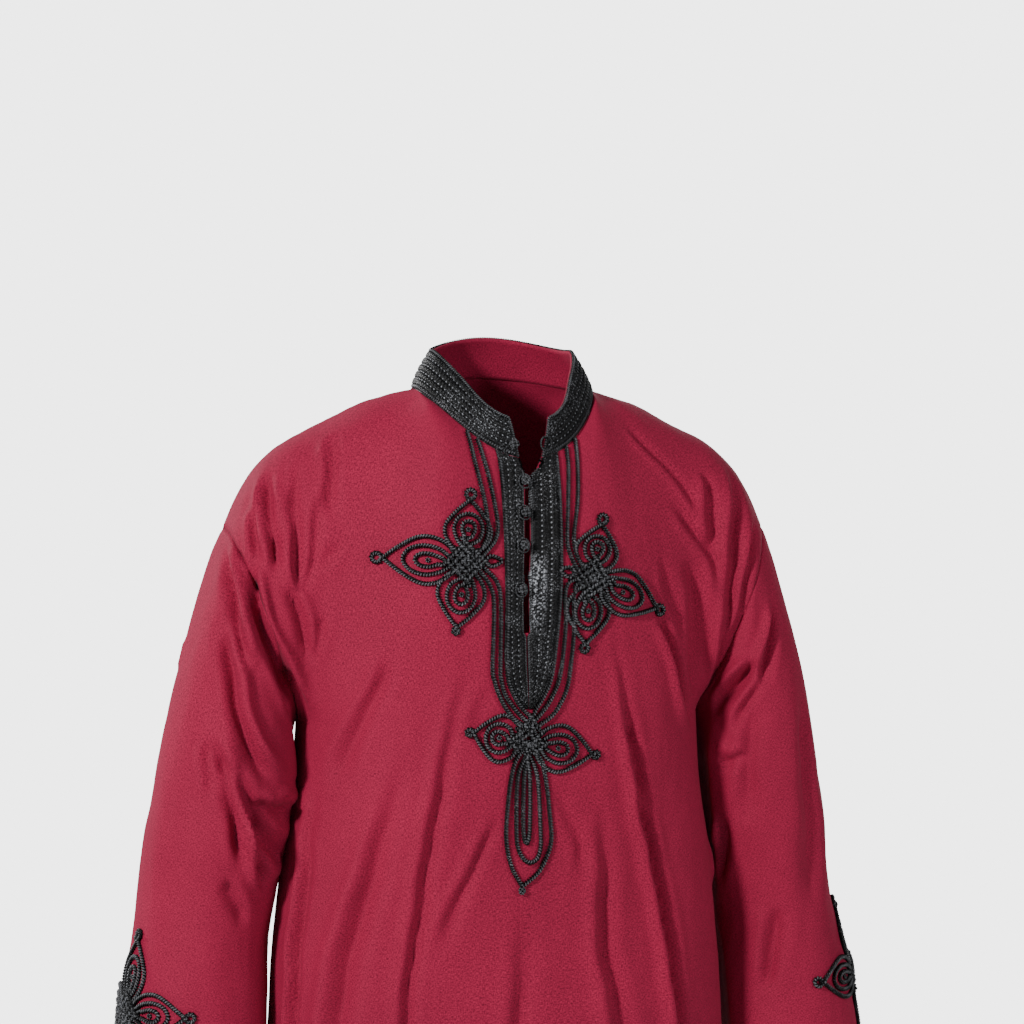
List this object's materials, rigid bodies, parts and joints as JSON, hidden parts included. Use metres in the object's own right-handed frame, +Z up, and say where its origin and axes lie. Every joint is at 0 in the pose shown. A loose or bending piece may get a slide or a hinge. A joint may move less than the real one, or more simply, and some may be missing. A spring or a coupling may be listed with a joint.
{
  "type": "moroccan shirt",
  "caption": "Loose hollow pullover shirt in its worn form, with wide sleeves, a braid-faced stand collar, a buttoned neck slit and couched cord knots on chest and cuffs.",
  "frame": {"origin": "middle of the neck at the height of the shoulder seams, where the wearer's shoulders carry the shirt (mount shoulders)", "axes": "+Z up along the wearer's body, -Y towards the front of the shirt, +X towards the wearer's left"},
  "size_m": [0.718, 0.2463, 0.8584],
  "materials": {
    "wine_cloth": "plain-woven deep wine red cloth with a soft sheen",
    "black_braid": "black woven braid with beaded rows and a dull glint",
    "black_cord": "black twisted cord with a silky glint"
  },
  "bodies": {
    "root": {"front": "wine_cloth", "back": "wine_cloth", "sleeve_right": "wine_cloth", "sleeve_left": "wine_cloth", "collar_stand": "wine_cloth", "collar_braid": "black_braid", "placket_braid_right": "black_braid", "placket_braid_left": "black_braid", "cord_chest": "black_cord", "cord_cuff_right": "black_cord", "cord_cuff_left": "black_cord", "button_1": "black_cord", "button_2": "black_cord", "button_3": "black_cord", "button_4": "black_cord", "button_5": "black_cord", "button_loop_1": "black_cord", "button_loop_2": "black_cord", "button_loop_3": "black_cord", "button_loop_4": "black_cord", "button_loop_5": "black_cord"}
  },
  "joints": []
}
